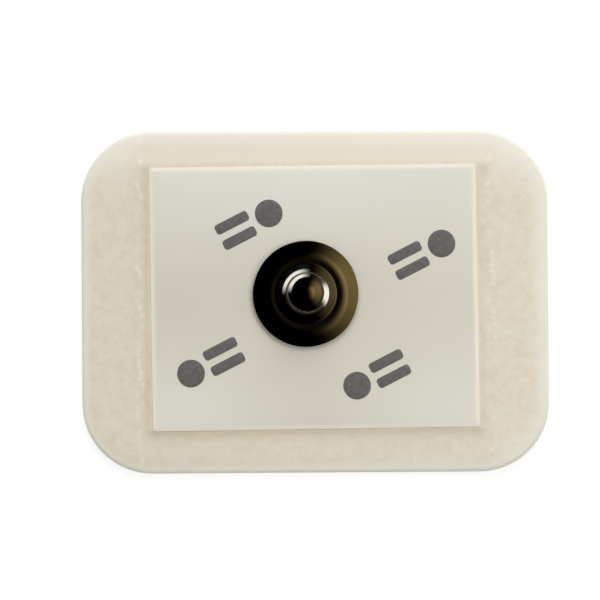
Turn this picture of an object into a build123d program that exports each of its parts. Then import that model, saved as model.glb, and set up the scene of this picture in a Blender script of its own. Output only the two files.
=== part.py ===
from build123d import *

import os
from math import atan2, degrees, hypot, tan

# A snap-type ECG monitoring electrode, lying on its skin face.
# Millimetres. +Z points away from the skin, and the origin is the middle of the skin face.

# Backing pad: a soft sheet, die-cut with round corners, with a round well for the gel
pad_length = 44.0
pad_width = 32.2
pad_thickness = 1.1
pad_corner_radius = 6.6
pad_edge_rounding = 0.35
well_radius = 8.5

# Pressed strip: the pad is rolled thinner from one long edge to the other, past the label's ends
strip_margin = 1.25
strip_depth = 0.08

# Label: a stiff sheet on the pressed strip, set a little high and a little turned. Its border
# is pressed down to a thin edge.
label_length = 30.7
label_width = 24.7
label_thickness = 0.22
label_bevel_width = 0.45
label_bevel_height = 0.15
label_rise = 0.38
label_turn_degrees = 0.5
label_hole_clearance = 0.1

# Axis of the snap and of the gel well, measured from the middle of the pad
snap_x = -0.97
snap_y = 0.69

# Snap stud: one thin sheet, drawn up into a flange, a groove, a boss, a neck and a head
stud_sheet = 0.2
flange_radius = 5.04
head_radius = 1.95
neck_inset = 0.35
boss_width = 0.62
rim_height = 0.4
crest_rise = 0.28
groove_depth = 0.03
skirt_height = 0.3
boss_height = 0.69
neck_height = 0.4
head_underside_height = 0.36
head_side_height = 0.58
brow_height = 0.34
crown_height = 0.28
hem_width = 0.75

# Bends of the stud's sheet, measured on its outer face. Its inner corners stay crisp.
shoulder_bend = 0.3
neck_bend = 0.22
groove_bend = 0.22
crest_bend = 0.4
rim_bend = 0.15

# The lines of the head's domed crown, as shares of the head's radius
crown_corner_share = 0.333
brow_corner_share = 0.808

# How far the large bends reach, as shares of the run that they start on
crown_reach_share = 0.94
brow_reach_share = 0.6
boss_reach_share = 0.37

# The flange's lines as shares of its width outside the boss, and the fall beyond its crest
groove_share = 0.26
crest_share = 0.384
flange_corner_share = 0.727
flange_drop_share = 0.5

# Sensor eyelet: a coated disc under the label, and a post swaged inside the stud's head
disc_inset = 0.04
disc_thickness = 0.45
disc_bevel = 0.15
post_clearance = 0.06
swage_clearance = 0.12
swage_bevel = 0.15

# Gel pad: it fills the well round the eyelet, down to the skin
gel_clearance = 0.05

# One overrun for every cut that goes right through
overrun = 1.0

# The pressed strip's width and the eyelet disc's radius follow the label and the flange
strip_width = label_length + 2 * strip_margin
disc_radius = flange_radius - disc_inset

# Heights that the pieces share
label_seat = pad_thickness - strip_depth
stud_seat = label_seat + label_thickness
disc_bottom = label_seat - disc_thickness

# Radii and heights of the stud's outer face, upwards from its seat
crown_corner = crown_corner_share * head_radius
brow_corner = brow_corner_share * head_radius
neck_radius = head_radius - neck_inset
boss_radius = neck_radius + boss_width
flange_width = flange_radius - boss_radius
groove_radius = boss_radius + groove_share * flange_width
crest_radius = boss_radius + crest_share * flange_width
flange_corner = boss_radius + flange_corner_share * flange_width
crest_level = rim_height + crest_rise
groove_level = crest_level - groove_depth
boss_level = groove_level + skirt_height
neck_foot = boss_level + boss_height
neck_top = neck_foot + neck_height
head_bottom = neck_top + head_underside_height
head_edge = head_bottom + head_side_height
brow_level = head_edge + brow_height
head_top = brow_level + crown_height

# The eyelet's post passes the stud's neck, and its swaged tip fills the head
post_radius = neck_radius - stud_sheet - post_clearance
swage_radius = head_radius - stud_sheet - swage_clearance
swage_foot = stud_seat + neck_top + stud_sheet
swage_edge = swage_foot + swage_radius - post_radius
swage_top = stud_seat + brow_level - stud_sheet - swage_clearance


def spin(outline):
    """The solid of revolution of a closed half section, about the snap axis."""
    section = Plane.XZ * make_face(outline)
    return Pos(snap_x, snap_y) * revolve(section, Axis.Z)


def snap_cylinder(radius, bottom, top):
    """A plain cylinder on the snap axis, between two heights."""
    return Pos(snap_x, snap_y, bottom) * extrude(Circle(radius), top - bottom)


def backing_pad():
    """The die-cut pad: its rounded rim, the pressed strip across it, and the gel well."""
    blank = extrude(RectangleRounded(pad_length, pad_width, pad_corner_radius), pad_thickness)
    blank = fillet(blank.edges().group_by(Axis.Z)[-1], pad_edge_rounding)
    press = Pos(Z=label_seat) * extrude(Rectangle(strip_width, pad_width + overrun), overrun)
    return blank - press - snap_cylinder(well_radius, -overrun, pad_thickness + overrun)


def label():
    """The stiff sheet that the snap is riveted to, with a hole for the eyelet's post."""
    outline = Rot(Z=label_turn_degrees) * Rectangle(label_length, label_width)
    taper = degrees(atan2(label_bevel_width, label_bevel_height))
    foot = extrude(outline, label_thickness - label_bevel_height)
    border = extrude(outline, label_bevel_height, taper=taper)
    sheet = foot + Pos(Z=label_thickness - label_bevel_height) * border
    hole_radius = post_radius + label_hole_clearance
    hole = snap_cylinder(hole_radius, label_seat - overrun, stud_seat + overrun)
    return Pos(Y=label_rise, Z=label_seat) * sheet - hole


def bend_reaching(reach, turn):
    """The bend that starts at a distance before a corner, for a line that turns by an angle."""
    return reach / tan(turn / 2)


def beside(corners, gap):
    """The corners of a line moved to its right by a gap, each along the mitre of its two runs."""
    runs = [(end - start).normalized() for start, end in zip(corners, corners[1:])]
    normals = [Vector(run.Y, -run.X) for run in runs]
    pairs = zip(normals[:1] + normals, normals + normals[-1:])
    mitres = [(before + after) / (1 + before.dot(after)) for before, after in pairs]
    return [corner + gap * mitre for corner, mitre in zip(corners, mitres)]


def snap_stud():
    """The drawn stud: its outer line with the bends, its inner line one sheet inside, spun."""
    crown_slope = atan2(crown_height, brow_corner - crown_corner)
    brow_slope = atan2(brow_height, head_radius - brow_corner)
    boss_slope = atan2(boss_height, boss_width)
    skirt_slope = atan2(skirt_height, groove_radius - boss_radius)
    brow_run = hypot(brow_height, head_radius - brow_corner)
    boss_run = hypot(boss_height, boss_width)
    crown_bend = bend_reaching(crown_reach_share * crown_corner, crown_slope)
    brow_bend = bend_reaching(brow_reach_share * brow_run, brow_slope - crown_slope)
    boss_bend = bend_reaching(boss_reach_share * boss_run, boss_slope - skirt_slope)
    path = (
        ((0, head_top), None),
        ((crown_corner, head_top), crown_bend),
        ((brow_corner, brow_level), brow_bend),
        ((head_radius, head_edge), shoulder_bend),
        ((head_radius, head_bottom), 0),
        ((neck_radius, neck_top), 0),
        ((neck_radius, neck_foot), neck_bend),
        ((boss_radius, boss_level), boss_bend),
        ((groove_radius, groove_level), groove_bend),
        ((crest_radius, crest_level), crest_bend),
        ((flange_corner, crest_level - flange_drop_share * crest_rise), 0),
        ((flange_radius, rim_height), rim_bend),
        ((flange_radius, 0), 0),
        ((flange_radius - hem_width, 0), None),
    )
    corners = [Vector(r, stud_seat + z) for (r, z), _ in path]
    outer = FilletPolyline(*corners, radius=[bend for _, bend in path if bend is not None])
    inner = Polyline(*beside(corners, stud_sheet))
    ends = [Line(outer @ 0, inner @ 0), Line(outer @ 1, inner @ 1)]
    return spin([*outer.edges(), *inner.edges(), *ends])


def sensor_eyelet():
    """The coated disc, its post through label and neck, and the tip swaged in the head."""
    section = Polyline(
        (0, disc_bottom),
        (disc_radius, disc_bottom),
        (disc_radius, label_seat),
        (post_radius, label_seat),
        (post_radius, swage_foot),
        (swage_radius, swage_edge),
        (swage_radius, swage_top),
        (0, swage_top),
        close=True,
    )
    eyelet = spin(section)
    eyelet = chamfer(eyelet.edges().group_by(Axis.Z)[0], disc_bevel)
    return chamfer(eyelet.edges().group_by(Axis.Z)[-1], swage_bevel)


def gel_pad():
    """The gel in the well, cast round the eyelet's disc and level with the skin face."""
    gel = snap_cylinder(well_radius - gel_clearance, 0, label_seat)
    return gel - snap_cylinder(disc_radius + gel_clearance, disc_bottom, label_seat + overrun)


os.makedirs("parts", exist_ok=True)
for piece in (backing_pad, label, snap_stud, sensor_eyelet, gel_pad):
    export_step(piece(), f"parts/{piece.__name__}.step")
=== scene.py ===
"""The looks of a snap-type ECG electrode: soft pad, printed label, drawn metal snap and gel.

Sizes are in millimetres, angles in degrees where a name says so. A mesh is turned to metres when
it is made. +Z points away from the skin, and the camera looks down on the label.
"""

from __future__ import annotations

import logging
import math
from dataclasses import dataclass
from enum import Enum

import bpy
import numpy as np
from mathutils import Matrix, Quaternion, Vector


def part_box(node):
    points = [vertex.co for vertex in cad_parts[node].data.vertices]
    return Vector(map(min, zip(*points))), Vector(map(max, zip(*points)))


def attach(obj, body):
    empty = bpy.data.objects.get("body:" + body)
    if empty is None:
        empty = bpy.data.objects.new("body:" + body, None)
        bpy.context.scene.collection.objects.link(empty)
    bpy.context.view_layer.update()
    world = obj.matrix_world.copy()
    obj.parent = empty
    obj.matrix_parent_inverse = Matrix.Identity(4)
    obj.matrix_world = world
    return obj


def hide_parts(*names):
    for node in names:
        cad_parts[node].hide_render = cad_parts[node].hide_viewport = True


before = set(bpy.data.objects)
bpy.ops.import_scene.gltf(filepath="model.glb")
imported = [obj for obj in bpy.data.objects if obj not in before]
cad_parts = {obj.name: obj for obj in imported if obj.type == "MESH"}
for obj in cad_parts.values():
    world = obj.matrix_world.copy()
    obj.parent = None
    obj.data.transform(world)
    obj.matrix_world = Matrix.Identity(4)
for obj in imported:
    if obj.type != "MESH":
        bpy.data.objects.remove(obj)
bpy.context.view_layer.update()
BODY = "root"
MM = 0.001
# A Mix node's sockets for colours have numbers: its factor, both colours, and the result.
MIX_INPUTS = (0, 6, 7)
MIX_COLOUR = 2
# The rays to which the floor and the sky are plain white.
SEEING_RAYS = ("Is Camera Ray", "Is Glossy Ray", "Is Transmission Ray")

Tree = bpy.types.NodeTree
Socket = bpy.types.NodeSocket
Material = bpy.types.Material
Piece = bpy.types.Object

log = logging.getLogger("ecg_electrode")


class Slot(Enum):
    """The record's material slots."""

    CLOTH = "pad_cloth"
    PAPER = "label_paper"
    METAL = "snap_metal"
    COAT = "sensor_coat"
    GEL = "solid_gel"


class Ends(Enum):
    """How the first and the last row of a grid of points are closed."""

    JOINED = "the last row meets the first, as round a ring"
    POLES = "the first and the last row are one point each, as on a ball"


class DiscEnd(Enum):
    """Which end of a printed mark its disc stands at."""

    LEFT = -1
    RIGHT = 1


def linear(colour: str) -> tuple[float, ...]:
    """Turns an sRGB hex colour into the linear one that shaders take.

    Args:
        colour: The colour as "#rrggbb".

    Returns:
        Linear red, green and blue, and an alpha of 1.
    """
    parts = np.array([int(colour[i : i + 2], 16) / 255 for i in (1, 3, 5)])
    curved = ((parts + 0.055) / 1.055) ** 2.4
    return (*np.where(parts > 0.04045, curved, parts / 12.92).tolist(), 1.0)


def per_metre(size: float) -> float:
    """The noise scale, on coordinates in metres, that gives features of a size in millimetres."""
    return 1 / (size * MM)


def ease(t: np.ndarray) -> np.ndarray:
    """The smooth step 3t^2 - 2t^3 of values held between 0 and 1."""
    t = np.clip(t, 0, 1)
    return t * t * (3 - 2 * t)


def node_box(node: str) -> tuple[np.ndarray, np.ndarray]:
    """Lowest and highest corner of a CAD node, in millimetres."""
    low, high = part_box(node)
    return np.array(low) / MM, np.array(high) / MM


def node_radius(node: str) -> float:
    """Half the size of a CAD node along X, in millimetres."""
    low, high = node_box(node)
    return (high[0] - low[0]) / 2


def turning(degrees: float) -> np.ndarray:
    """The matrix that turns rows (x, y) counter-clockwise when they are multiplied by it."""
    turn = math.radians(degrees)
    return np.array(((math.cos(turn), math.sin(turn)), (-math.sin(turn), math.cos(turn))))


@dataclass(frozen=True)
class Waves:
    """A smooth random field.

    A square lattice of random values, one cell apart, is blended in x and in y by the smooth
    step of the place within the cell.
    """

    cell: float
    seed: int
    height: float = 1.0

    def at(self, x: np.ndarray, y: np.ndarray) -> np.ndarray:
        """The field's values at some places.

        Args:
            x: Places along X.
            y: Places along Y, of the same shape.

        Returns:
            Values between -height and height, in the shape of x.
        """
        reach = int(max(np.abs(x).max(), np.abs(y).max()) / self.cell) + 2
        size = (2 * reach + 1, 2 * reach + 1)
        lattice = np.random.default_rng(self.seed).uniform(-1, 1, size)
        u, v = x / self.cell + reach, y / self.cell + reach
        i, j = np.floor(u).astype(int), np.floor(v).astype(int)
        a, b = ease(u - i), ease(v - j)
        near = lattice[i, j] * (1 - a) + lattice[i + 1, j] * a
        far = lattice[i, j + 1] * (1 - a) + lattice[i + 1, j + 1] * a
        return self.height * (near * (1 - b) + far * b)


def rounded_outline(
    length: float,
    width: float,
    radius: float,
    spacing: float,
    corner_steps: int = 3,
    side_steps: int = 2,
) -> tuple[np.ndarray, np.ndarray]:
    """Points and outward directions round a rectangle with rounded corners.

    Each corner is a quarter circle about its own centre, and each side a straight run to the
    next corner. Both get points about one spacing apart.

    Args:
        length: Full size along X.
        width: Full size along Y.
        radius: Corner radius.
        spacing: Distance between points.
        corner_steps: The fewest steps round a corner.
        side_steps: The fewest steps along a side.

    Returns:
        Points and unit normals, each of shape (points, 2), counter-clockwise.
    """
    points, normals = [], []
    half = np.array((length / 2 - radius, width / 2 - radius))
    quarter = math.pi / 2
    steps = max(corner_steps, round(radius * quarter / spacing))
    for k, signs in enumerate(((1, 1), (-1, 1), (-1, -1), (1, -1))):
        centre = half * signs
        turn = (k + np.arange(steps) / steps) * quarter
        arc = np.stack((np.cos(turn), np.sin(turn)), axis=1)
        run = 2 * half[k % 2]
        straight = max(side_steps, round(run / spacing))
        normal = np.array((math.cos((k + 1) * quarter), math.sin((k + 1) * quarter)))
        along = np.array((-normal[1], normal[0]))
        travel = np.arange(straight)[:, None] * run / straight
        points += [centre + radius * arc, centre + radius * normal + travel * along]
        normals += [arc, np.tile(normal, (straight, 1))]
    return np.concatenate(points), np.concatenate(normals)


def bend_reaching(reach: float, turn: float) -> float:
    """The bend that starts at a distance before a corner, for a line that turns by an angle."""
    return reach / math.tan(turn / 2)


def rounded_line(
    path: np.ndarray, guard: float = 0.015, stride: float = 0.06, step_degrees: float = 7
) -> np.ndarray:
    """Points along a line in the (radius, height) plane whose inner corners are bent.

    A corner with bend b becomes an arc tangent to both of its runs, which starts
    b * tan(turn / 2) before it. Each long run gets a guard point near each end, which keeps
    its shading straight.

    Args:
        path: Radius, height and bend of each corner, of shape (n, 3). The ends don't bend.
        guard: Distance of the guard points from the ends of a run.
        stride: The longest distance between two points of an arc.
        step_degrees: The largest turn between two points of an arc.

    Returns:
        The points, of shape (m, 2).
    """
    corners, step = path[:, :2], math.radians(step_degrees)
    line = [corners[:1]]
    for before, corner, after, bend in zip(corners, corners[1:], corners[2:], path[1:, 2]):
        into = (corner - before) / np.linalg.norm(corner - before)
        out = (after - corner) / np.linalg.norm(after - corner)
        turn = math.atan2(into[0] * out[1] - into[1] * out[0], into @ out)
        side = math.copysign(1, turn) * np.array((-into[1], into[0]))
        start = corner - into * bend * math.tan(abs(turn) / 2)
        centre = start + side * bend
        pieces = math.ceil(max(2, abs(turn) / step, bend * abs(turn) / stride))
        angle = np.linspace(0, turn, pieces + 1)[:, None]
        spoke = start - centre
        across = np.array((-spoke[1], spoke[0]))
        line.append(centre + np.cos(angle) * spoke + np.sin(angle) * across)
    line = np.concatenate([*line, corners[-1:]])
    run = np.diff(line, axis=0)
    size = np.linalg.norm(run, axis=1, keepdims=True)
    toward = run / np.maximum(size, guard * MM)
    long = size > 4 * guard
    first = np.where(long, line[:-1] + guard * toward, np.nan)
    second = np.where(long, line[1:] - guard * toward, np.nan)
    full = np.stack((line[:-1], first, second), axis=1).reshape(-1, 2)
    return np.concatenate((full[~np.isnan(full[:, 0])], line[-1:]))


def offset_line(corners: np.ndarray, gap: float) -> np.ndarray:
    """The corners of a line moved sideways, to the right of its direction.

    Each corner moves along the sum of the normals n and m of its two runs, by
    gap / (1 + n.m), so that both runs keep their distance.

    Args:
        corners: The line's corners, of shape (n, 2).
        gap: How far to move.

    Returns:
        The moved corners, of the same shape.
    """
    run = np.diff(corners, axis=0)
    run = run / np.linalg.norm(run, axis=1, keepdims=True)
    normal = np.stack((run[:, 1], -run[:, 0]), axis=1)
    before = np.concatenate((normal[:1], normal))
    after = np.concatenate((normal, normal[-1:]))
    reach = gap / (1 + (before * after).sum(axis=1, keepdims=True))
    return corners + (before + after) * reach


def spin(profile: np.ndarray, axis: np.ndarray, columns: int) -> np.ndarray:
    """Carries a profile round an upright axis.

    A point (r, z) goes to (x + r cos a, y + r sin a, z) for every angle a.

    Args:
        profile: Points (radius, height), of shape (rows, 2), on the axis at both ends.
        axis: The axis's x and y.
        columns: Steps round the axis.

    Returns:
        A grid of points, of shape (columns, rows, 3).
    """
    angle = np.arange(columns)[:, None] * 2 * math.pi / columns
    radius, height = profile[None, :, 0], profile[None, :, 1]
    x = axis[0] + np.cos(angle) * radius
    y = axis[1] + np.sin(angle) * radius
    return np.stack((x, y, np.broadcast_to(height, x.shape)), axis=2)


def grid_faces(grid: np.ndarray, ends: Ends) -> tuple[np.ndarray, np.ndarray, np.ndarray]:
    """Joins a grid of points into one closed skin that faces outwards.

    Neighbouring columns always join, also the last with the first. The skin's volume, summed
    over its triangles as a . (b x c) / 6, is negative if it is inside out, and then every
    face is turned over.

    Args:
        grid: Points of shape (columns, rows, 3).
        ends: How the first and the last row close.

    Returns:
        Points (n, 3), quads (m, 4) and triangles (k, 3).
    """
    poles = ends is Ends.POLES
    ring = grid[:, 1:-1] if poles else grid
    columns, rows = ring.shape[:2]
    index = np.arange(columns * rows).reshape(columns, rows)
    beside = np.roll(index, -1, axis=0)
    above, above_beside = np.roll(index, -1, axis=1), np.roll(beside, -1, axis=1)
    quads = np.stack((index, beside, above_beside, above), axis=2)
    quads = (quads[:, :-1] if poles else quads).reshape(-1, 4)
    points = ring.reshape(-1, 3)
    triangles = np.empty((0, 3), dtype=int)
    if poles:
        low, high = len(points), len(points) + 1
        points = np.concatenate((points, grid[:1, 0], grid[:1, -1]))
        foot = np.stack((beside[:, 0], index[:, 0], np.full(columns, low)), axis=1)
        cap = np.stack((index[:, -1], beside[:, -1], np.full(columns, high)), axis=1)
        triangles = np.concatenate((foot, cap))
    split = np.concatenate((quads[:, :3], quads[:, (0, 2, 3)], triangles))
    a, b, c = (points[split[:, i]] for i in range(3))
    if (a * np.cross(b, c)).sum() < 0:
        quads, triangles = quads[:, ::-1], triangles[:, ::-1]
    return points, quads, triangles


def skin(name: str, grids: list[np.ndarray], ends: Ends) -> Piece:
    """Makes one smooth mesh object from grids of points.

    Args:
        name: The object's name.
        grids: Grids of points in millimetres, each a closed skin of its own.
        ends: How each grid's first and last row close.

    Returns:
        The object, linked to the scene, at the origin.
    """
    points, quads, triangles, count = [], [], [], 0
    for grid in grids:
        some, fours, threes = grid_faces(grid, ends)
        points.append(some)
        quads.append(fours + count)
        triangles.append(threes + count)
        count += len(some)
    points, quads, triangles = map(np.concatenate, (points, quads, triangles))
    mesh = bpy.data.meshes.new(name)
    mesh.vertices.add(count)
    mesh.vertices.foreach_set("co", (points * MM).ravel())
    mesh.loops.add(quads.size + triangles.size)
    mesh.loops.foreach_set("vertex_index", np.concatenate((quads.ravel(), triangles.ravel())))
    starts = (np.arange(len(quads)) * 4, quads.size + np.arange(len(triangles)) * 3)
    mesh.polygons.add(len(quads) + len(triangles))
    mesh.polygons.foreach_set("loop_start", np.concatenate(starts))
    mesh.update(calc_edges=True)
    mesh.validate()
    mesh.shade_smooth()
    piece = bpy.data.objects.new(name, mesh)
    bpy.context.collection.objects.link(piece)
    return piece


def point_values(piece: Piece, **values: np.ndarray) -> None:
    """Stores numbers for each point of a mesh, for its material to read.

    Args:
        piece: The object.
        values: By name, one value for each point, in the order of the mesh.
    """
    for name, numbers in values.items():
        store = piece.data.attributes.new(name, "FLOAT", "POINT")
        store.data.foreach_set("value", numbers.ravel().astype(np.float32))


def place(piece: Piece, slot: Slot, materials: tuple[Material, ...], *nodes: str) -> Piece:
    """Seats a piece: its materials, its body and the nodes it stands for.

    Args:
        piece: The object.
        slot: The record's slot that it takes its finish from; not used.
        materials: Its materials, in the order of their numbers.
        nodes: The CAD nodes that it replaces, if any.

    Returns:
        The finished piece.
    """
    for material in materials:
        piece.data.materials.append(material)
    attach(piece, BODY)
    if nodes:
        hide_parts(*nodes)
    return piece


def add_node(
    tree: Tree, kind: str, settings: dict | None = None, inputs: dict | None = None
) -> bpy.types.Node:
    """Adds a node with its settings and its links.

    Args:
        tree: The tree that it goes into.
        kind: The node's type.
        settings: Its properties, by name.
        inputs: Its inputs, by name or number. An output socket is linked, a value is set.

    Returns:
        The node.
    """
    node = tree.nodes.new(kind)
    for name, value in (settings or {}).items():
        setattr(node, name, value)
    for socket, value in (inputs or {}).items():
        if isinstance(value, Socket):
            tree.links.new(value, node.inputs[socket])
        else:
            node.inputs[socket].default_value = value
    return node


def empty_tree(owner: Material | bpy.types.World) -> Tree:
    """Switches on the node tree of a material or a world, and empties it.

    Args:
        owner: The material or the world.

    Returns:
        The tree.
    """
    owner.use_nodes = True
    owner.node_tree.nodes.clear()
    return owner.node_tree


@dataclass(frozen=True)
class Grain:
    """Noise with features of a real size, in millimetres.

    The noise value low becomes 0 and high becomes 1, and detail adds finer layers.
    """

    size: float
    low: float = 0.35
    high: float = 0.7
    detail: float = 2


@dataclass(frozen=True)
class Shift:
    """A colour that goes from low to high as a grain or a point value goes from 0 to 1."""

    low: str | Socket
    high: str | Socket
    by: Grain | str | Socket


@dataclass(frozen=True)
class Coat:
    """A colour laid over others, and how much of it shows: a share times a factor."""

    colour: str | Shift | Socket | tuple[float, ...]
    share: float | Grain | str | Socket
    most: float = 1.0


@dataclass(frozen=True)
class Relief:
    """A shallow relief: its height between 0 and 1, its strength and its depth."""

    height: Grain | Socket
    strength: float
    depth: float


class Paint:
    """A material in the making, painted on Object coordinates."""

    def __init__(self, name: str) -> None:
        """Starts an empty material.

        Args:
            name: The material's name.
        """
        self.material = bpy.data.materials.new(name)
        self.tree = empty_tree(self.material)
        self.place = add_node(self.tree, "ShaderNodeTexCoord").outputs["Object"]

    def amount(self, source: float | Grain | str | Socket) -> float | Socket:
        """Finds the amount that a source sets.

        Args:
            source: A number, a grain, the name of a point value or a socket.

        Returns:
            The number, or the socket that holds the amount.
        """
        if isinstance(source, str):
            stored = {"attribute_name": source}
            return add_node(self.tree, "ShaderNodeAttribute", stored).outputs["Fac"]
        if not isinstance(source, Grain):
            return source
        inputs = {"Vector": self.place, "Scale": per_metre(source.size), "Detail": source.detail}
        raw = add_node(self.tree, "ShaderNodeTexNoise", {}, inputs).outputs["Fac"]
        inputs = {"Value": raw, "From Min": source.low, "From Max": source.high}
        return add_node(self.tree, "ShaderNodeMapRange", {}, inputs).outputs["Result"]

    def lay(self, under: str | Shift | Socket, coat: Coat) -> Socket:
        """Lays a coat over a colour.

        Args:
            under: The colour below.
            coat: The coat.

        Returns:
            The socket that holds the colour of both.
        """
        share = self.amount(coat.share)
        if coat.most != 1:
            product = {"operation": "MULTIPLY"}
            share = add_node(self.tree, "ShaderNodeMath", product, {0: share, 1: coat.most})
            share = share.outputs[0]
        pair = []
        for colour in (under, coat.colour):
            if isinstance(colour, Shift):
                colour = self.lay(colour.low, Coat(colour.high, colour.by))
            pair.append(linear(colour) if isinstance(colour, str) else colour)
        inputs = dict(zip(MIX_INPUTS, (share, *pair)))
        mix = add_node(self.tree, "ShaderNodeMix", {"data_type": "RGBA"}, inputs)
        return mix.outputs[MIX_COLOUR]

    def close(self, inputs: dict, relief: Relief | None) -> Material:
        """Adds the relief and the surface shader, and joins them to the material's output.

        Args:
            inputs: The shader's inputs, values or sockets.
            relief: The relief, if there is one.

        Returns:
            The finished material.
        """
        if relief:
            height = self.amount(relief.height)
            bend = {"Strength": relief.strength, "Distance": relief.depth * MM, "Height": height}
            bump = add_node(self.tree, "ShaderNodeBump", {}, bend)
            inputs = {**inputs, "Normal": bump.outputs["Normal"]}
        shader = add_node(self.tree, "ShaderNodeBsdfPrincipled", {}, inputs)
        surface = {"Surface": shader.outputs["BSDF"]}
        add_node(self.tree, "ShaderNodeOutputMaterial", {}, surface)
        return self.material


@dataclass(frozen=True)
class Finish:
    """A surface: its base colour, the coats over it, its relief and its shader's values."""

    name: str
    base: str | Shift
    coats: tuple[Coat, ...]
    relief: Relief | None = None
    shader: tuple[tuple[str, float | tuple[float, ...]], ...] = ()

    def build(self) -> Material:
        """Makes the material.

        Returns:
            The finished material.
        """
        paint, tone = Paint(self.name), self.base
        for coat in self.coats:
            tone = paint.lay(tone, coat)
        return paint.close({"Base Color": tone, **dict(self.shader)}, self.relief)


@dataclass(frozen=True)
class FeltedCloth(Finish):
    """Spun-laced polyester cloth, felted by water jets: the pad's soft cream face.

    The eye sees a matt, faintly mottled cream with pale fibre tips. It is paler where the
    edge turns away, a painted highlight that widens to the right and towards the far edge. The
    rolled margins beyond the label's long sides are paler, and the corners too, with painted
    light from above that makes the far margin and the far corners palest. Close to the label it
    is browner, a painted shadow that is deepest beside the label's near edge. It has rows of
    light tufts where the pressed strip ends. The named shares are the pad's point values.
    Real fibres are about 0.02 mm thick, and are drawn coarser to show.
    """

    name: str = "spunlace_cloth"
    base: Shift = Shift("#e0d4c3", "#d8d7c5", Grain(6.0, 0.35, 0.65, 1))
    coats: tuple[Coat, ...] = (
        Coat("#dcd5c4", 0.6),
        Coat("#d2cab5", Grain(1.1, 0.42, 0.68, 3), 0.62),
        Coat("#e6e1d3", Grain(0.35, 0.5, 0.72), 0.36),
        # smooth: the paler pressed margins and corners, with painted light from above on the far
        # ones
        Coat("#e5ddcd", "smooth", 0.8),
        # close: a painted shadow beside the label
        Coat("#a89874", "close", 0.9),
        # rim: a painted highlight along the rounded edge
        Coat("#e6e6dc", "rim", 0.75),
        Coat("#f1ecdd", "fleck", 0.62),
    )
    relief: Relief = Relief(Grain(0.35, 0.5, 0.72), 0.16, 0.04)
    shader: tuple[tuple[str, float | tuple[float, ...]], ...] = (
        ("Roughness", 0.95),
        ("Specular IOR Level", 0.2),
        ("Sheen Weight", 0.15),
        ("Sheen Roughness", 0.5),
        ("Sheen Tint", linear("#e6e1d3")),
    )


@dataclass(frozen=True)
class AdhesiveFilm(Finish):
    """Acrylic adhesive, coated on the pad's skin face.

    The eye sees a faintly yellow, satin film with shallow coating waves.
    """

    name: str = "acrylic_adhesive_film"
    base: str = "#ded6bf"
    coats: tuple[Coat, ...] = (Coat("#d6cdb3", Grain(2.4)),)
    relief: Relief = Relief(Grain(2.4), 0.4, 0.02)
    shader: tuple[tuple[str, float], ...] = (("Roughness", 0.32), ("IOR", 1.47))


@dataclass(frozen=True)
class CoatedLabel(Finish):
    """Polyester label film with a white printable coat, die-cut.

    The eye sees a smooth, cool off-white with a low satin gloss, and a cream line along the
    cut edge. The label's point values set the coat's tone and the line.
    """

    name: str = "coated_polyester_label"
    base: Shift = Shift("#dcd5ca", "#d4d6c9", Grain(5.0, 0.35, 0.65, 1))
    coats: tuple[Coat, ...] = (
        Coat("#d9d6ca", 0.6),
        Coat(Shift("#cac6b7", "#e8e7e1", "tone"), 0.7),
        Coat("#eae3d5", "cut"),
    )
    relief: Relief = Relief(Grain(0.5, 0.3, 0.7), 0.15, 0.01)
    shader: tuple[tuple[str, float], ...] = (("Roughness", 0.42), ("IOR", 1.5))


@dataclass(frozen=True)
class LabelInk(Finish):
    """Grey flexographic ink, printed on the label.

    The eye sees a flat dark grey with a faint unevenness where the ink took thinner.
    """

    name: str = "flexographic_ink"
    base: str = "#5f5e5c"
    coats: tuple[Coat, ...] = (Coat("#6b6a67", Grain(0.4, 0.4, 0.7, 3)),)
    shader: tuple[tuple[str, float], ...] = (("Roughness", 0.5), ("IOR", 1.5))


@dataclass(frozen=True)
class SilverChloride(Finish):
    """Moulded ABS eyelet with a silver and silver chloride coat.

    The eye sees a matt, faintly violet grey with a fine powdery grain.
    """

    name: str = "silver_chloride_coated_abs"
    base: str = "#a7a3a1"
    coats: tuple[Coat, ...] = (Coat("#8d8889", Grain(0.25, detail=3)),)
    relief: Relief = Relief(Grain(0.25, detail=3), 0.3, 0.01)
    shader: tuple[tuple[str, float], ...] = (("Roughness", 0.55), ("Metallic", 0.6))


@dataclass(frozen=True)
class Hydrogel(Finish):
    """Solid conductive hydrogel, cast in the well.

    The eye sees a wet, clear, faintly green jelly with soft swirls.
    """

    name: str = "conductive_hydrogel"
    base: str = "#dde6df"
    coats: tuple[Coat, ...] = (Coat("#cfdcd3", Grain(3.0)),)
    relief: Relief = Relief(Grain(3.0), 0.2, 0.03)
    shader: tuple[tuple[str, float], ...] = (
        ("Roughness", 0.08),
        ("IOR", 1.36),
        ("Transmission Weight", 0.55),
    )


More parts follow.
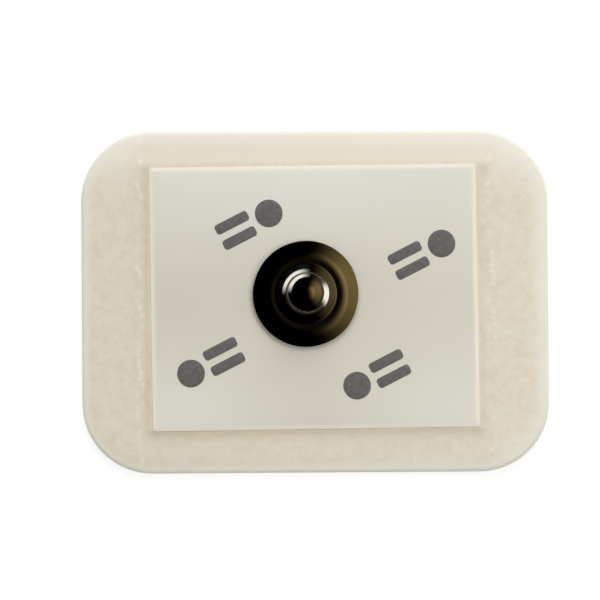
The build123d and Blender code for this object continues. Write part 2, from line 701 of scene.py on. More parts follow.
@dataclass(frozen=True)
class NickelPlate:
    """Nickel-plated brass, deep drawn and barrel polished.

    The eye sees a mirror with a faint warm cast, and hair-fine drawing rings round the snap
    axis that only soften its highlights. Real ones are under 0.01 mm apart, and are drawn
    coarser and very shallow.
    """

    axis: np.ndarray
    base: str = "#cfc5b6"
    dull: str = "#c5baa9"
    cloud: Grain = Grain(1.5, detail=3)
    ring_size: float = 0.09
    ring_detail: float = 3
    ring_strength: float = 0.06
    ring_depth: float = 0.01
    smoothest: float = 0.06
    roughest: float = 0.1

    def build(self) -> Material:
        """Makes the material.

        Returns:
            The finished material.
        """
        paint = Paint("nickel_plated_brass")
        away = paint.place
        for operation, other in (("SUBTRACT", (*self.axis * MM, 0)), ("MULTIPLY", (1, 1, 0))):
            settings, inputs = {"operation": operation}, {0: away, 1: other}
            away = add_node(paint.tree, "ShaderNodeVectorMath", settings, inputs).outputs[0]
        length = {"operation": "LENGTH"}
        radius = add_node(paint.tree, "ShaderNodeVectorMath", length, {0: away}).outputs["Value"]
        inputs = {"W": radius, "Scale": per_metre(self.ring_size), "Detail": self.ring_detail}
        rings = add_node(paint.tree, "ShaderNodeTexNoise", {"noise_dimensions": "1D"}, inputs)
        cloud = paint.amount(self.cloud)
        inputs = {"Value": cloud, "To Min": self.smoothest, "To Max": self.roughest}
        rough = add_node(paint.tree, "ShaderNodeMapRange", {}, inputs)
        inputs = {
            "Base Color": paint.lay(self.base, Coat(self.dull, cloud)),
            "Roughness": rough.outputs["Result"],
            "Metallic": 1.0,
        }
        relief = Relief(rings.outputs["Fac"], self.ring_strength, self.ring_depth)
        return paint.close(inputs, relief)


@dataclass(frozen=True)
class Sheet:
    """A sheet with a rounded rectangular outline and a round hole, which may have no size.

    Straight lines run out from the hole to the outline. Each row of the skin is a share of
    the way along them, moved in from the outline by an inset, at a height.
    """

    length: float
    width: float
    corner_radius: float
    turn_degrees: float
    centre: np.ndarray
    hole_centre: np.ndarray
    hole_radius: float
    spacing: float
    # Rows are closer together near the outline, by this power.
    crowding: float = 1.5
    edge_steps: int = 8
    wall_steps: int = 3
    bore_steps: int = 4

    def section(
        self, bottom: float, top: float, upper: float, lower: float, across: int
    ) -> np.ndarray:
        """The rows of the skin, from the hole's upper edge out, round the edge and back.

        Args:
            bottom: Height of the underside.
            top: Height of the upper face.
            upper: Rounding of the upper edge.
            lower: Rounding of the lower edge.
            across: Rows across the upper face, four times those across the underside.

        Returns:
            Shares, insets and heights, of shape (rows, 3).
        """
        share = 1 - (1 - np.linspace(0, 1, across)) ** self.crowding
        turn = np.linspace(0, math.pi / 2, self.edge_steps + 1)[1:]
        wall = np.linspace(top - upper, bottom + lower, self.wall_steps + 1)[1:]
        back = np.linspace(1, 0, across // 4)[1:]
        bore = np.linspace(bottom, top, self.bore_steps + 1)[1:-1]
        parts = (
            (share, share * upper, top),
            (1, upper * (1 - np.sin(turn)), top - upper * (1 - np.cos(turn))),
            (1, 0, wall),
            (1, lower * (1 - np.cos(turn)), bottom + lower * (1 - np.sin(turn))),
            (back, back * lower, bottom),
            (0, 0, bore),
        )
        return np.concatenate([np.stack(np.broadcast_arrays(*part), axis=1) for part in parts])

    def grid(self, section: np.ndarray) -> np.ndarray:
        """Carries a section round the sheet.

        Args:
            section: Shares, insets and heights, of shape (rows, 3).

        Returns:
            A grid of points, of shape (columns, rows, 3).
        """
        sizes = (self.length, self.width, self.corner_radius, self.spacing)
        outline, normals = (ring @ turning(self.turn_degrees) for ring in rounded_outline(*sizes))
        outline = outline + self.centre
        spoke = outline - self.hole_centre
        spoke = spoke / np.linalg.norm(spoke, axis=1, keepdims=True)
        rings = (self.hole_centre + self.hole_radius * spoke, outline, normals)
        hole, outline, normals = (ring[:, None, :] for ring in rings)
        share, inset, height = (section[None, :, i, None] for i in range(3))
        flat = (1 - share) * hole + share * outline - inset * normals
        return np.concatenate((flat, np.broadcast_to(height, flat[..., :1].shape)), axis=2)

    def depth(self, x: np.ndarray, y: np.ndarray) -> np.ndarray:
        """How far inside the outline places are, negative outside.

        Args:
            x: Places along X.
            y: Places along Y, of the same shape.

        Returns:
            The distance to the rounded outline, in the shape of x.
        """
        own = (np.stack((x, y), axis=-1) - self.centre) @ turning(-self.turn_degrees)
        past = np.abs(own) - (self.length / 2, self.width / 2) + self.corner_radius
        corner = np.linalg.norm(np.maximum(past, 0), axis=-1)
        return self.corner_radius - corner - np.minimum(past.max(axis=-1), 0)


@dataclass
class Label:
    """The die-cut label that the snap is riveted to: flat, stiff and faintly wavy."""

    # The snap axis's x and y.
    axis: np.ndarray
    length: float = 30.82
    width: float = 24.84
    shift_x: float = -0.12
    turn_degrees: float = 0.5
    corner_radius: float = 0.25
    edge_rounding: float = 0.03
    foot_rounding: float = 0.02
    border_width: float = 0.33
    border_drop: float = 0.06
    border_bend: float = 0.08
    fall_reach: float = 2.5
    fall_drop: float = 0.08
    hole_radius: float = 1.44
    # The cream line along the cut edge shows in full up to one distance from the outline, and not
    # past another.
    cut_full: float = 0.16
    cut_end: float = 0.56
    waves: Waves = Waves(7.0, 11, 0.006)
    tone: Waves = Waves(13.0, 470)
    spacing: float = 0.24
    across: int = 56

    def sheet(self) -> Sheet:
        """Lays out the label's flat form.

        Returns:
            The sheet, with the hole for the eyelet's post.
        """
        low, high = node_box("label")
        centre = (low + high)[:2] / 2 + (self.shift_x, 0)
        sizes = (self.length, self.width, self.corner_radius, self.turn_degrees)
        return Sheet(*sizes, centre, self.axis, self.hole_radius, self.spacing)

    def build(self) -> Piece:
        """Makes the label.

        The border falls evenly towards the cut edge, t = (width - depth) / bend bends into
        it, and ln(1 + e^t) is the soft form of the larger of t and 0. The sheet also falls
        by drop * (1 - depth / reach)^2 towards its edge.

        Returns:
            The finished piece.
        """
        low, high = node_box("label")
        sheet = self.sheet()
        roundings = (self.edge_rounding, self.foot_rounding)
        grid = sheet.grid(sheet.section(low[2], high[2], *roundings, self.across))
        x, y, z = np.moveaxis(grid, -1, 0)
        depth = np.maximum(sheet.depth(x, y), 0)
        slope = self.border_drop / self.border_width * self.border_bend
        fall = slope * np.logaddexp(0, (self.border_width - depth) / self.border_bend)
        fall += self.fall_drop * np.maximum(1 - depth / self.fall_reach, 0) ** 2
        wave = self.waves.at(x, y) - self.waves.height
        share = (z - low[2]) / (high[2] - low[2])
        tone = (self.tone.at(x, y) + 1) / 2
        grid[..., 2] = z + share * (wave - fall)
        piece = skin("label_sheet", [grid], Ends.JOINED)
        cut = 1 - ease((depth - self.cut_full) / (self.cut_end - self.cut_full))
        point_values(piece, tone=tone, cut=cut)
        return place(piece, Slot.PAPER, (CoatedLabel().build(),), "label")


@dataclass
class LabelPrint:
    """Four plain printed marks round the snap: a disc beside two short bars."""

    mark_length: float = 6.5
    mark_height: float = 2.6
    bar_height: float = 0.98
    bar_corner: float = 0.3
    gap: float = 0.5
    tilt_degrees: float = 27.0
    film: float = 0.015
    sunk: float = 0.02
    rim_share: float = 0.3
    spacing: float = 0.08
    # Each mark's x and y from the pad's middle, and the disc's end.
    places: tuple[tuple[float, float, DiscEnd], ...] = (
        (-6.12, 7.42, DiscEnd.RIGHT),
        (10.17, 4.50, DiscEnd.RIGHT),
        (-10.07, -5.86, DiscEnd.LEFT),
        (5.56, -7.09, DiscEnd.LEFT),
    )

    def shapes(self, end: DiscEnd) -> list[tuple[float, float, float, float, float]]:
        """The shapes of one mark: middle x and y, length, height and corner radius of each.

        Args:
            end: Which end the disc stands at.

        Returns:
            The disc and the two bars, in the mark's own frame.
        """
        disc = self.mark_height
        bar = self.mark_length - disc - self.gap
        disc_x = end.value * (self.mark_length - disc) / 2
        bar_x = -end.value * (self.mark_length - bar) / 2
        bar_y = (self.mark_height - self.bar_height) / 2
        bars = [(bar_x, y, bar, self.bar_height, self.bar_corner) for y in (-bar_y, bar_y)]
        return [(disc_x, 0, disc, disc, disc / 2 - self.spacing / 4), *bars]

    def build(self) -> Piece:
        """Makes the print: thin films of ink, each a low closed button.

        Rows run from the middle of the top to its rim, round it, down into the label and
        back to the middle.

        Returns:
            The finished piece.
        """
        seat = node_box("label")[1][2]
        top, bottom, rim = seat + self.film, seat - self.sunk, self.rim_share * self.film
        rows = (
            (0, 0, top),
            (0.5, 0, top),
            (1, self.film, top),
            (1, rim, top - rim),
            (1, 0, seat),
            (1, 0, bottom),
            (0.5, 0, bottom),
            (0, 0, bottom),
        )
        grids = []
        for x, y, end in self.places:
            for *middle, length, height, corner in self.shapes(end):
                centre = np.array(middle) @ turning(self.tilt_degrees) + (x, y)
                sizes = (length, height, corner, self.tilt_degrees)
                sheet = Sheet(*sizes, centre, centre, 0, self.spacing)
                grids.append(sheet.grid(np.array(rows)))
        piece = skin("label_print", grids, Ends.POLES)
        return place(piece, Slot.PAPER, (LabelInk().build(),))


@dataclass
class BackingPad:
    """The soft die-cut pad, with its pressed middle strip and its felted face."""

    # The snap axis's x and y, and the label's flat form, which lies flat on the strip.
    axis: np.ndarray
    label: Sheet
    corner_radius: float = 6.6
    strip_width: float = 33.2
    ramp_width: float = 0.6
    well_clearance: float = 0.05
    edge_rounding: float = 0.36
    foot_rounding: float = 0.1
    edge_drop: float = 0.12
    edge_reach: float = 1.8
    margin_drop: float = 0.24
    felt: Waves = Waves(0.7, 1, 0.008)
    lumps: Waves = Waves(1.7, 2, 0.01)
    # How much of the felt's height the strip loses, and how far from the label it comes up.
    pressed_share: float = 0.6
    bare_reach: float = 0.5
    # Share and reach of the painted shadow beside the label's far, left, right and near edge.
    painted_shadow_sides: tuple[tuple[float, float], ...] = (
        (0.05, 0.5),
        (0.47, 0.8),
        (0.3, 0.5),
        (0.85, 0.5),
    )
    # How far from the label's edge the painted shadow starts.
    painted_shadow_start: float = 0.35
    # The far rolled margin gets painted light from above. How pale the near rolled margin is
    # beside the far one, and how much of the way from the label to the rim they take to become
    # so.
    near_margin_light_share: float = 0.3
    margin_start: float = 0.125
    # The pale rim, a painted highlight, which gets wider to the right and towards the far edge,
    # where the light comes from.
    rim_width: float = 1.6
    rim_light_spread: float = 0.023
    # How pale the corners are, painted light from above and the right: far left and far right,
    # then near left and near right. The gain makes them paler in the cloth's smooth tone than at
    # the rim.
    corner_light_shares: tuple[tuple[float, float], ...] = ((0.8, 1.0), (0.05, 0.35))
    corner_gain: float = 1.3
    corner_start: float = 9.0
    corner_reach: float = 6.0
    corner_blend: float = 1.7
    # Each column of tufts: its seed, the strip's end that it is at, its start in pitches.
    fleck_columns: tuple[tuple[int, int, float], ...] = (
        (5, -1, 0),
        (6, 1, 0),
        (7, -1, 0.5),
        (8, 1, 0.5),
    )
    fleck_pitch: float = 1.1
    fleck_shift: float = 0.28
    fleck_power: float = 1.5
    fleck_length: float = 0.24
    fleck_width: float = 0.17
    fleck_height: float = 0.03
    fleck_margin: float = 0.8
    spacing: float = 0.2
    across: int = 84

    def flecks(self, x: np.ndarray, y: np.ndarray) -> np.ndarray:
        """The tufts that stand along both ends of the pressed strip.

        Each is a bell exp(-u^2 - v^2) about its own middle, one pitch from the next in its
        column with a random shift, and of random strength. Each end has two columns, half a
        pitch apart.

        Args:
            x: Places along X.
            y: Places along Y, of the same shape.

        Returns:
            Their strength between 0 and 1, in the shape of x.
        """
        total = np.zeros_like(x)
        half = int(np.abs(y).max() / self.fleck_pitch) + 2
        count = 2 * half + 1
        for seed, end, start in self.fleck_columns:
            number = np.rint(y / self.fleck_pitch - start).astype(int) + half
            dice = np.random.default_rng(seed)
            shift_x, shift_y = dice.uniform(-self.fleck_shift, self.fleck_shift, (2, count))
            force = dice.uniform(0, 1, count) ** self.fleck_power
            middle_x = end * self.strip_width / 2 + shift_x[number]
            middle_y = (number - half + start) * self.fleck_pitch + shift_y[number] / 2
            u, v = (x - middle_x) / self.fleck_width, (y - middle_y) / self.fleck_length
            total = np.maximum(total, force[number] * np.exp(-u * u - v * v))
        return total

    def close(self, x: np.ndarray, y: np.ndarray) -> np.ndarray:
        """How dark the painted shadow makes the cloth beside the label: share * exp(-distance /
        reach).

        Args:
            x: Places along X.
            y: Places along Y, of the same shape.

        Returns:
            Values between 0 and 1, in the shape of x.
        """
        outside = np.maximum(-self.label.depth(x, y), 0)
        north, half = y - self.label.centre[1], self.label.width / 2
        edges = (north > half, north < -half, x < self.label.centre[0])
        sides = np.array(self.painted_shadow_sides)[np.select(edges, (0, 3, 1), 2)]
        share, reach = np.moveaxis(sides, -1, 0)
        return share * np.exp(-outside / reach) * ease(outside / self.painted_shadow_start)

    def build(self) -> Piece:
        """Makes the pad.

        Its face sinks by the strip's depth between the strip's two ramps. The margin that the
        label leaves free falls away evenly from the label's edge to the outline, and near the
        outline by a further drop * (1 - depth / reach)^2. The felt's grain is everywhere but
        under the label, and lumpier outside the pressed strip.

        Returns:
            The finished piece, which keeps the point values that its cloth reads.
        """
        low, high = node_box("backing_pad")
        size, centre = high - low, (low + high)[:2] / 2
        well = node_radius("gel_pad") + self.well_clearance
        sheet = Sheet(*size[:2], self.corner_radius, 0, centre, self.axis, well, self.spacing)
        roundings = (self.edge_rounding, self.foot_rounding)
        grid = sheet.grid(sheet.section(low[2], high[2], *roundings, self.across))
        x, y, z = np.moveaxis(grid, -1, 0)
        share = (z - low[2]) / size[2]
        depth = np.maximum(sheet.depth(x, y), 0)
        pressed = ease((self.strip_width / 2 - np.abs(x)) / self.ramp_width + 0.5)

        label_size = np.array((self.label.length, self.label.width))
        past = np.abs(grid[..., :2] - self.label.centre) - label_size / 2
        beyond = past / (size[:2] - label_size)
        margin = np.minimum(2 * np.linalg.norm(np.maximum(beyond, 0), axis=-1), 1)
        rim = np.maximum(1 - depth / self.edge_reach, 0) ** 2
        fall = self.edge_drop * rim + self.margin_drop * margin
        bare = ease(-self.label.depth(x, y) / self.bare_reach)
        flecks = self.flecks(x, y) * bare * ease(depth / self.fleck_margin)
        grain = self.felt.at(x, y) + self.lumps.at(x, y)
        rise = grain * (1 - self.pressed_share * pressed) * bare + self.fleck_height * flecks
        sunk = high[2] - node_box("label")[0][2]
        grid[..., 2] = z + share * (rise - sunk * pressed - fall)
        piece = skin("soft_pad", [grid], Ends.JOINED)

        # Painted light from above and the right: far corners paler than near ones, far margin
        # paler than near.
        paler = np.array(self.corner_light_shares)[(y < 0).astype(int), (x >= 0).astype(int)]
        corner = (1 - pressed) * ease((np.abs(y) - self.corner_start) / self.corner_reach)
        rolled = np.where(y > self.label.centre[1], 1, self.near_margin_light_share) * pressed
        rolled = rolled * ease(beyond[..., 1] / (self.margin_start * beyond[..., 1].max()))
        # The pale rim is a painted highlight, wider towards the light, and the far corners add to
        # it.
        rim = 1 - ease(depth / (self.rim_width + self.rim_light_spread * (x + y)))
        tip = corner**2 * paler * ease((np.abs(x) - self.strip_width / 2) / self.corner_blend)
        point_values(
            piece,
            # close is a painted shadow beside the label, deepest at its near edge.
            close=self.close(x, y) * share,
            smooth=rolled + corner * np.minimum(self.corner_gain * paler, 1),
            rim=(1 - (1 - rim) * (1 - tip)) * share,
            fleck=flecks,
        )

        materials = (FeltedCloth().build(), AdhesiveFilm().build())
        place(piece, Slot.CLOTH, materials, "backing_pad")
        heights = np.empty(len(piece.data.polygons) * 3)
        piece.data.polygons.foreach_get("center", heights)
        skin_face = heights[2::3] < (low[2] + self.foot_rounding / 4) * MM
        piece.data.polygons.foreach_set("material_index", skin_face.astype(np.int32))
        return piece


@dataclass
class SpunPiece:
    """A piece that is spun about the snap axis, which is kept as its x and y."""

    axis: np.ndarray
    columns: int = 128
    crisp: float = 0.02

    def spun(self, name: str, profile: np.ndarray) -> Piece:
        """The smooth object that a profile (radius, height) gives when it is spun."""
        return skin(name, [spin(profile, self.axis, self.columns)], Ends.POLES)


@dataclass
class SnapStud(SpunPiece):
    """The drawn snap stud: one thin sheet from its hem to the crown of its head."""

    columns: int = 192
    crisp: float = 0.03
    sheet: float = 0.2
    head_radius: float = 1.88
    neck_inset: float = 0.28
    boss_width: float = 0.454
    rim_height: float = 0.4
    crest_rise: float = 0.28
    groove_depth: float = 0.01
    skirt_height: float = 0.333
    boss_height: float = 0.505
    neck_height: float = 0.552
    head_underside_height: float = 0.36
    head_side_height: float = 0.644
    brow_height: float = 0.276
    crown_height: float = 0.28
    hem_width: float = 0.75
    # Corners and reaches, as shares of the head's radius, of a run or of the flange's width.
    crown_corner_share: float = 0.3454
    brow_corner_share: float = 0.838
    crown_reach_share: float = 0.94
    brow_reach_share: float = 0.737
    boss_reach_share: float = 0.449
    groove_share: float = 0.272
    crest_share: float = 0.575
    shoulder_bend: float = 0.1
    underside_bend: float = 0.08
    neck_bend: float = 0.22
    groove_bend: float = 0.3
    crest_bend: float = 4.5
    rim_bend: float = 0.12

    def path(self, flange: float) -> np.ndarray:
        """The outer line's corners above the label, from the crown to the hem.

        The crown's, the brow's and the boss's bends start a share of a run before their
        corner.

        Args:
            flange: The flange's radius.

        Returns:
            Radius, height and bend of each corner, of shape (n, 3).
        """
        head = self.head_radius
        crown = self.crown_corner_share * head
        brow = self.brow_corner_share * head
        neck = head - self.neck_inset
        boss = neck + self.boss_width
        groove = boss + self.groove_share * (flange - boss)
        crest = boss + self.crest_share * (flange - boss)
        crest_level = self.rim_height + self.crest_rise
        groove_level = crest_level - self.groove_depth
        boss_level = groove_level + self.skirt_height
        neck_foot = boss_level + self.boss_height
        neck_top = neck_foot + self.neck_height
        head_bottom = neck_top + self.head_underside_height
        head_edge = head_bottom + self.head_side_height
        brow_level = head_edge + self.brow_height
        head_top = brow_level + self.crown_height
        crown_slope = math.atan2(self.crown_height, brow - crown)
        brow_slope = math.atan2(self.brow_height, head - brow)
        boss_slope = math.atan2(self.boss_height, self.boss_width)
        skirt_slope = math.atan2(self.skirt_height, groove - boss)
        crown_reach = self.crown_reach_share * crown
        brow_reach = self.brow_reach_share * math.hypot(head - brow, self.brow_height)
        boss_reach = self.boss_reach_share * math.hypot(self.boss_width, self.boss_height)
        corners = (
            (0, head_top, 0),
            (crown, head_top, bend_reaching(crown_reach, crown_slope)),
            (brow, brow_level, bend_reaching(brow_reach, brow_slope - crown_slope)),
            (head, head_edge, self.shoulder_bend),
            (head, head_bottom, self.underside_bend),
            (neck, neck_top, self.underside_bend),
            (neck, neck_foot, self.neck_bend),
            (boss, boss_level, bend_reaching(boss_reach, boss_slope - skirt_slope)),
            (groove, groove_level, self.groove_bend),
            (crest, crest_level, self.crest_bend),
            (flange, self.rim_height, self.rim_bend),
            (flange, 0, self.crisp),
            (flange - self.hem_width, 0, 0),
        )
        return np.array(corners)

    def build(self) -> Piece:
        """Makes the stud: its outer line, its inner line one sheet inside, both spun.

        A bend on the inner line is larger by the sheet where the line turns to the left, and
        smaller by it where it turns to the right.

        Returns:
            The finished piece.
        """
        outer = self.path(node_radius("snap_stud"))
        inner = np.column_stack((offset_line(outer[:, :2], self.sheet), outer[:, 2]))
        inner[0, 0] = 0
        run = np.diff(outer[:, :2], axis=0)
        turn = np.sign(run[:-1, 0] * run[1:, 1] - run[:-1, 1] * run[1:, 0])
        inner[1:-1, 2] = np.maximum(inner[1:-1, 2] + turn * self.sheet, self.crisp)
        seat = node_box("snap_stud")[0][2]
        profile = np.concatenate((rounded_line(outer), rounded_line(inner)[::-1])) + (0, seat)
        material = NickelPlate(self.axis).build()
        return place(self.spun("stud", profile), Slot.METAL, (material,), "snap_stud")


@dataclass
class SensorEyelet(SpunPiece):
    """The coated eyelet: a disc under the label, and a post swaged inside the stud's head."""

    post_radius: float = 1.34
    swage_radius: float = 1.63
    swage_depth: float = 0.76
    bevel: float = 0.15

    def build(self) -> Piece:
        """Makes the eyelet by spinning its section.

        Returns:
            The finished piece.
        """
        low, high = node_box("sensor_eyelet")
        seat = node_box("label")[0][2]
        radius = node_radius("sensor_eyelet")
        foot = high[2] - self.swage_depth
        corners = (
            (0, low[2], 0),
            (radius, low[2], self.bevel),
            (radius, seat, self.crisp),
            (self.post_radius, seat, self.crisp),
            (self.post_radius, foot, self.crisp),
            (self.swage_radius, foot + self.swage_radius - self.post_radius, self.crisp),
            (self.swage_radius, high[2], self.bevel),
            (0, high[2], 0),
        )
        piece = self.spun("eyelet", rounded_line(np.array(corners)))
        return place(piece, Slot.COAT, (SilverChloride().build(),), "sensor_eyelet")


@dataclass
class GelPad(SpunPiece):
    """The gel in the pad's well, cast round the eyelet's disc."""

    columns: int = 160
    clearance: float = 0.05
    lip: float = 0.12

    def build(self) -> Piece:
        """Makes the gel by spinning its section.

        Returns:
            The finished piece.
        """
        low, high = node_box("gel_pad")
        radius = node_radius("gel_pad")
        recess = node_radius("sensor_eyelet") + self.clearance
        roof = node_box("sensor_eyelet")[0][2]
        corners = (
            (0, low[2], 0),
            (radius, low[2], self.lip),
            (radius, high[2], self.crisp),
            (recess, high[2], self.crisp),
            (recess, roof, self.crisp),
            (0, roof, 0),
        )
        piece = self.spun("gel", rounded_line(np.array(corners)))
        return place(piece, Slot.GEL, (Hydrogel().build(),), "gel_pad")


@dataclass(frozen=True)
class Arc:
    """A range of angles in degrees, whose two ends are blurred inwards and outwards."""

    middle: float
    half: float
    blur: float


@dataclass(frozen=True)
class Window:
    """A bright window of the room: its azimuths, its angles off the zenith, its strength."""

    across: Arc
    upright: Arc
    strength: float


@dataclass(frozen=True)
class Softbox:
    """A square soft lamp that faces the object, and that gloss and the camera don't see.

    A power P gives a flat white surface the level share = P sin(elevation) / (pi distance)^2.
    """

    azimuth_degrees: float
    elevation_degrees: float
    distance: float
    side: float
    share: float

    def build(self) -> None:
        """Hangs the lamp."""
        lamp = bpy.data.lights.new("softbox", "AREA")
        lamp.shape = "SQUARE"
        lamp.size = self.side * MM
        a, e = math.radians(self.azimuth_degrees), math.radians(self.elevation_degrees)
        lamp.energy = self.share * (math.pi * self.distance * MM) ** 2 / math.sin(e)
        holder = bpy.data.objects.new("softbox", lamp)
        bpy.context.collection.objects.link(holder)
        aim = np.array((math.cos(a) * math.cos(e), math.sin(a) * math.cos(e), math.sin(e)))
        holder.location = tuple(aim * self.distance * MM)
        holder.rotation_euler = (math.pi / 2 - e, 0, a + math.pi / 2)
        holder.visible_glossy = False
        holder.visible_camera = False


@dataclass
class Studio:
    """A pale floor, soft light from above, a dark room for the metal to mirror, a camera."""

    # The picture's width, and where its middle lies on the pad's face.
    view_width: float = 56.5
    view_x: float = -1.49
    view_y: float = 0.13
    view_turn_degrees: float = -0.38
    lean_degrees: float = 4.1
    lean_azimuth_degrees: float = 221.8
    lens: float = 400.0
    sensor: float = 36.0
    near_clip: float = 10.0
    sky: str = "#fffdf8"
    sky_fill: float = 0.5
    floor_side: float = 6000.0
    floor_drop: float = 0.01
    floor_albedo: float = 0.88
    floor_seen_albedo: float = 0.25
    floor_glow: float = 0.8
    dome_radius: float = 900.0
    dome_rows: int = 48
    dome_columns: int = 96
    table_radius: float = 26.0
    table_depth: float = 1.0
    # Each wall's sRGB colours at rising angles off the zenith.
    left_wall: tuple[tuple[float, str], ...] = (
        (0, "#010102"),
        (70, "#020203"),
        (84, "#2c2b2a"),
        (96, "#3a3937"),
    )
    right_wall: tuple[tuple[float, str], ...] = (
        (0, "#010101"),
        (3, "#090906"),
        (5.5, "#201d14"),
        (8.5, "#443e2b"),
        (12, "#6b6143"),
        (15.5, "#92845c"),
        (19, "#a39367"),
        (23, "#83774f"),
        (31, "#83774f"),
        (36, "#8d7f59"),
        (43, "#696147"),
        (50, "#605a41"),
        (60, "#5c5640"),
        (74, "#5e584a"),
        (90, "#6b6050"),
    )
    # The right wall is where both of these azimuths overlap.
    wall_sides: tuple[Arc, ...] = (Arc(0, 52, 24), Arc(90, 118, 48))
    window_tint: tuple[float, float, float] = (1.0, 1.07, 1.15)
    windows: tuple[Window, ...] = (
        Window(Arc(128, 36, 18), Arc(66.5, 15, 4), 1.4),
        Window(Arc(0, 24, 12), Arc(84, 19, 5), 1.6),
    )
    # The main one beyond the far edge, a small one near the right end, a weak one at the left.
    lamps: tuple[Softbox, ...] = (
        Softbox(82, 34, 600, 480, 0.404),
        Softbox(-5, 48, 160, 90, 0.138),
        Softbox(192, 14, 600, 400, 0.025),
    )

    def seen(self, tree: Tree) -> Socket:
        """1 for the rays to which the surroundings are plain white, 0 for the others.

        Args:
            tree: The tree that asks.

        Returns:
            The socket that holds it.
        """
        path = add_node(tree, "ShaderNodeLightPath")
        value = 0.0
        for ray in SEEING_RAYS:
            inputs = {0: value, 1: path.outputs[ray]}
            value = add_node(tree, "ShaderNodeMath", {"operation": "MAXIMUM"}, inputs).outputs[0]
        return value

    def world(self) -> None:
        """An even pale light from all round, white where the camera sees it."""
        world = bpy.data.worlds.new("pale_room")
        bpy.context.scene.world = world
        tree = empty_tree(world)
        inputs = {"Value": self.seen(tree), "To Min": self.sky_fill}
        level = add_node(tree, "ShaderNodeMapRange", {}, inputs).outputs["Result"]
        inputs = {"Color": linear(self.sky), "Strength": level}
        sky = add_node(tree, "ShaderNodeBackground", {}, inputs)
        add_node(tree, "ShaderNodeOutputWorld", {}, {"Surface": sky.outputs["Background"]})

    def floor(self) -> None:
        """A matt floor that looks white and keeps the object's shadow."""
        half, drop = self.floor_side / 2 * MM, -self.floor_drop * MM
        corners = [(half * x, half * y, drop) for x, y in ((-1, -1), (1, -1), (1, 1), (-1, 1))]
        mesh = bpy.data.meshes.new("floor")
        mesh.from_pydata(corners, [], [(0, 1, 2, 3)])
        floor = bpy.data.objects.new("floor", mesh)
        bpy.context.collection.objects.link(floor)
        material = bpy.data.materials.new("matt_white_floor")
        tree = empty_tree(material)
        seen = self.seen(tree)
        inputs = {"Value": seen, "To Min": self.floor_albedo, "To Max": self.floor_seen_albedo}
        albedo = add_node(tree, "ShaderNodeMapRange", {}, inputs).outputs["Result"]
        matt = add_node(tree, "ShaderNodeBsdfDiffuse", {}, {"Color": albedo})
        inputs = {"Value": seen, "To Max": self.floor_glow}
        level = add_node(tree, "ShaderNodeMapRange", {}, inputs).outputs["Result"]
        glow = add_node(tree, "ShaderNodeEmission", {}, {"Strength": level})
        inputs = {0: matt.outputs[0], 1: glow.outputs[0]}
        both = add_node(tree, "ShaderNodeAddShader", {}, inputs)
        add_node(tree, "ShaderNodeOutputMaterial", {}, {"Surface": both.outputs[0]})
        mesh.materials.append(material)

    def wall(self, tree: Tree, polar: Socket, stops: tuple[tuple[float, str], ...]) -> Socket:
        """A wall whose colour changes with the angle off the zenith.

        Args:
            tree: The room's tree.
            polar: The angle off the zenith, in degrees.
            stops: Pairs of an angle and the sRGB colour there, in rising order.

        Returns:
            The socket that holds the colour.
        """
        half_turn = 180.0
        share = add_node(tree, "ShaderNodeMapRange", {}, {"Value": polar, "From Max": half_turn})
        ramp = add_node(tree, "ShaderNodeValToRGB", {}, {0: share.outputs["Result"]})
        elements = ramp.color_ramp.elements
        while len(elements) < len(stops):
            elements.new(1.0)
        for element, (angle, colour) in zip(elements, stops):
            element.position = angle / half_turn
            element.color = linear(colour)
        return ramp.outputs["Color"]

    def within(self, tree: Tree, *ranges: tuple[Socket, Arc]) -> Socket:
        """1 where every angle lies in its arc and 0 far from there, with a soft change.

        Args:
            tree: The room's tree.
            ranges: Pairs of an angle in degrees and its arc.

        Returns:
            The socket that holds it.
        """
        total = 1.0
        for angle, arc in ranges:
            for operation, second in (("SUBTRACT", arc.middle), ("ABSOLUTE", 0.0)):
                settings, inputs = {"operation": operation}, {0: angle, 1: second}
                angle = add_node(tree, "ShaderNodeMath", settings, inputs).outputs[0]
            ends = {"From Min": arc.half + arc.blur, "From Max": arc.half - arc.blur}
            soft = {"interpolation_type": "SMOOTHSTEP"}
            inside = add_node(tree, "ShaderNodeMapRange", soft, {"Value": angle, **ends})
            inputs = {0: total, 1: inside.outputs["Result"]}
            total = add_node(tree, "ShaderNodeMath", {"operation": "MULTIPLY"}, inputs).outputs[0]
        return total

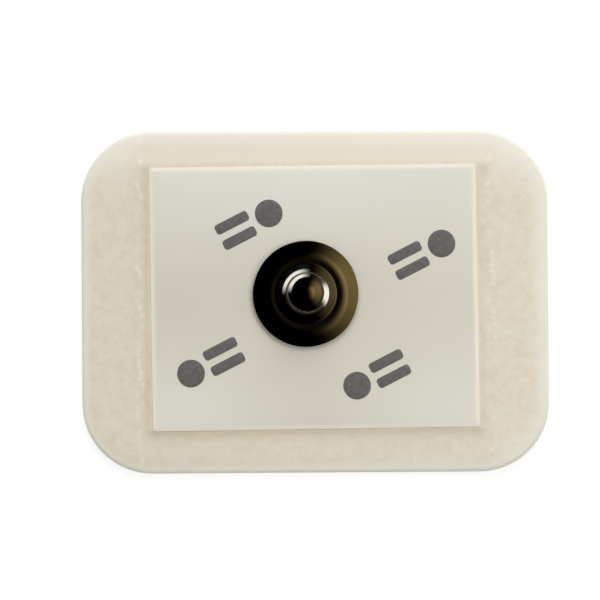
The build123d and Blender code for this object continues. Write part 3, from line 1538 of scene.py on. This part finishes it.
    def dome(self) -> None:
        """The dim room that only gloss sees: dark above and left, brown right, two windows.

        A place in it is known by two angles: its polar angle arccos z, off the zenith, and its
        azimuth arctan(y / x). A dark table at floor level closes the room round the object.
        """
        turn = np.linspace(math.pi / 2, 0, self.dome_rows)
        roof = self.dome_radius * np.stack((np.cos(turn), np.sin(turn)), axis=1)
        roof[0, 0] = 0
        edge, foot = self.table_radius, -self.table_depth
        profile = np.concatenate((roof, ((edge, 0), (edge, foot), (0, foot))))
        dome = skin("room", [spin(profile, np.zeros(2), self.dome_columns)], Ends.POLES)
        paint = Paint("room_mirrored_in_metal")
        tree = paint.tree
        unit = {"operation": "NORMALIZE"}
        toward = add_node(tree, "ShaderNodeVectorMath", unit, {0: paint.place}).outputs[0]
        x, y, z = add_node(tree, "ShaderNodeSeparateXYZ", {}, {0: toward}).outputs
        angles = []
        for operation, inputs in (("ARCCOSINE", {0: z}), ("ARCTAN2", {0: y, 1: x})):
            for step in (operation, "DEGREES"):
                value = add_node(tree, "ShaderNodeMath", {"operation": step}, inputs).outputs[0]
                inputs = {0: value}
            angles.append(value)
        polar, azimuth = angles
        walls = [self.wall(tree, polar, stops) for stops in (self.left_wall, self.right_wall)]
        share = self.within(tree, *((azimuth, side) for side in self.wall_sides))
        total = paint.lay(walls[0], Coat(walls[1], share))
        for window in self.windows:
            lit = (*(window.strength * part for part in self.window_tint), 1.0)
            share = self.within(tree, (azimuth, window.across), (polar, window.upright))
            total = paint.lay(total, Coat(lit, share))
        glow = add_node(tree, "ShaderNodeEmission", {}, {"Color": total})
        add_node(tree, "ShaderNodeOutputMaterial", {}, {"Surface": glow.outputs[0]})
        dome.data.materials.append(paint.material)
        for ray in ("camera", "diffuse", "transmission", "volume_scatter", "shadow"):
            setattr(dome, f"visible_{ray}", False)

    def camera(self) -> None:
        """The camera, nearly straight above, leaned and turned as the photograph is."""
        data = bpy.data.cameras.new("camera")
        data.lens, data.sensor_width = self.lens, self.sensor
        data.clip_start = self.near_clip * MM
        camera = bpy.data.objects.new("camera", data)
        bpy.context.collection.objects.link(camera)
        distance = self.view_width * self.lens / self.sensor
        lean, side = math.radians(self.lean_degrees), math.radians(self.lean_azimuth_degrees)
        flat = np.array((math.cos(side), math.sin(side))) * math.sin(lean)
        toward = np.array((*flat, math.cos(lean)))
        target = np.array((self.view_x, self.view_y, node_box("backing_pad")[1][2]))
        camera.location = tuple((target + distance * toward) * MM)
        leaned = Quaternion((-math.sin(side), math.cos(side), 0), lean)
        turned = Quaternion((0, 0, 1), math.radians(self.view_turn_degrees))
        camera.rotation_euler = (leaned @ turned).to_euler()
        bpy.context.scene.camera = camera

    def build(self) -> None:
        """Sets up the whole studio."""
        self.world()
        self.floor()
        self.dome()
        for lamp in self.lamps:
            lamp.build()
        self.camera()
        bpy.context.scene.view_settings.view_transform = "Standard"


def main() -> None:
    """Builds the electrode piece by piece, logging each piece's triangles, then the studio."""
    low, high = node_box("snap_stud")
    axis = (low + high)[:2] / 2
    label = Label(axis)
    parts = (
        GelPad(axis),
        SensorEyelet(axis),
        BackingPad(axis, label.sheet()),
        label,
        LabelPrint(),
        SnapStud(axis),
    )
    for part in parts:
        piece = part.build()
        piece.data.calc_loop_triangles()
        log.info("%s: %d triangles", piece.name, len(piece.data.loop_triangles))
    Studio().build()


if __name__ == "__main__":
    logging.basicConfig(level=logging.INFO, format="%(name)s %(message)s")
    main()
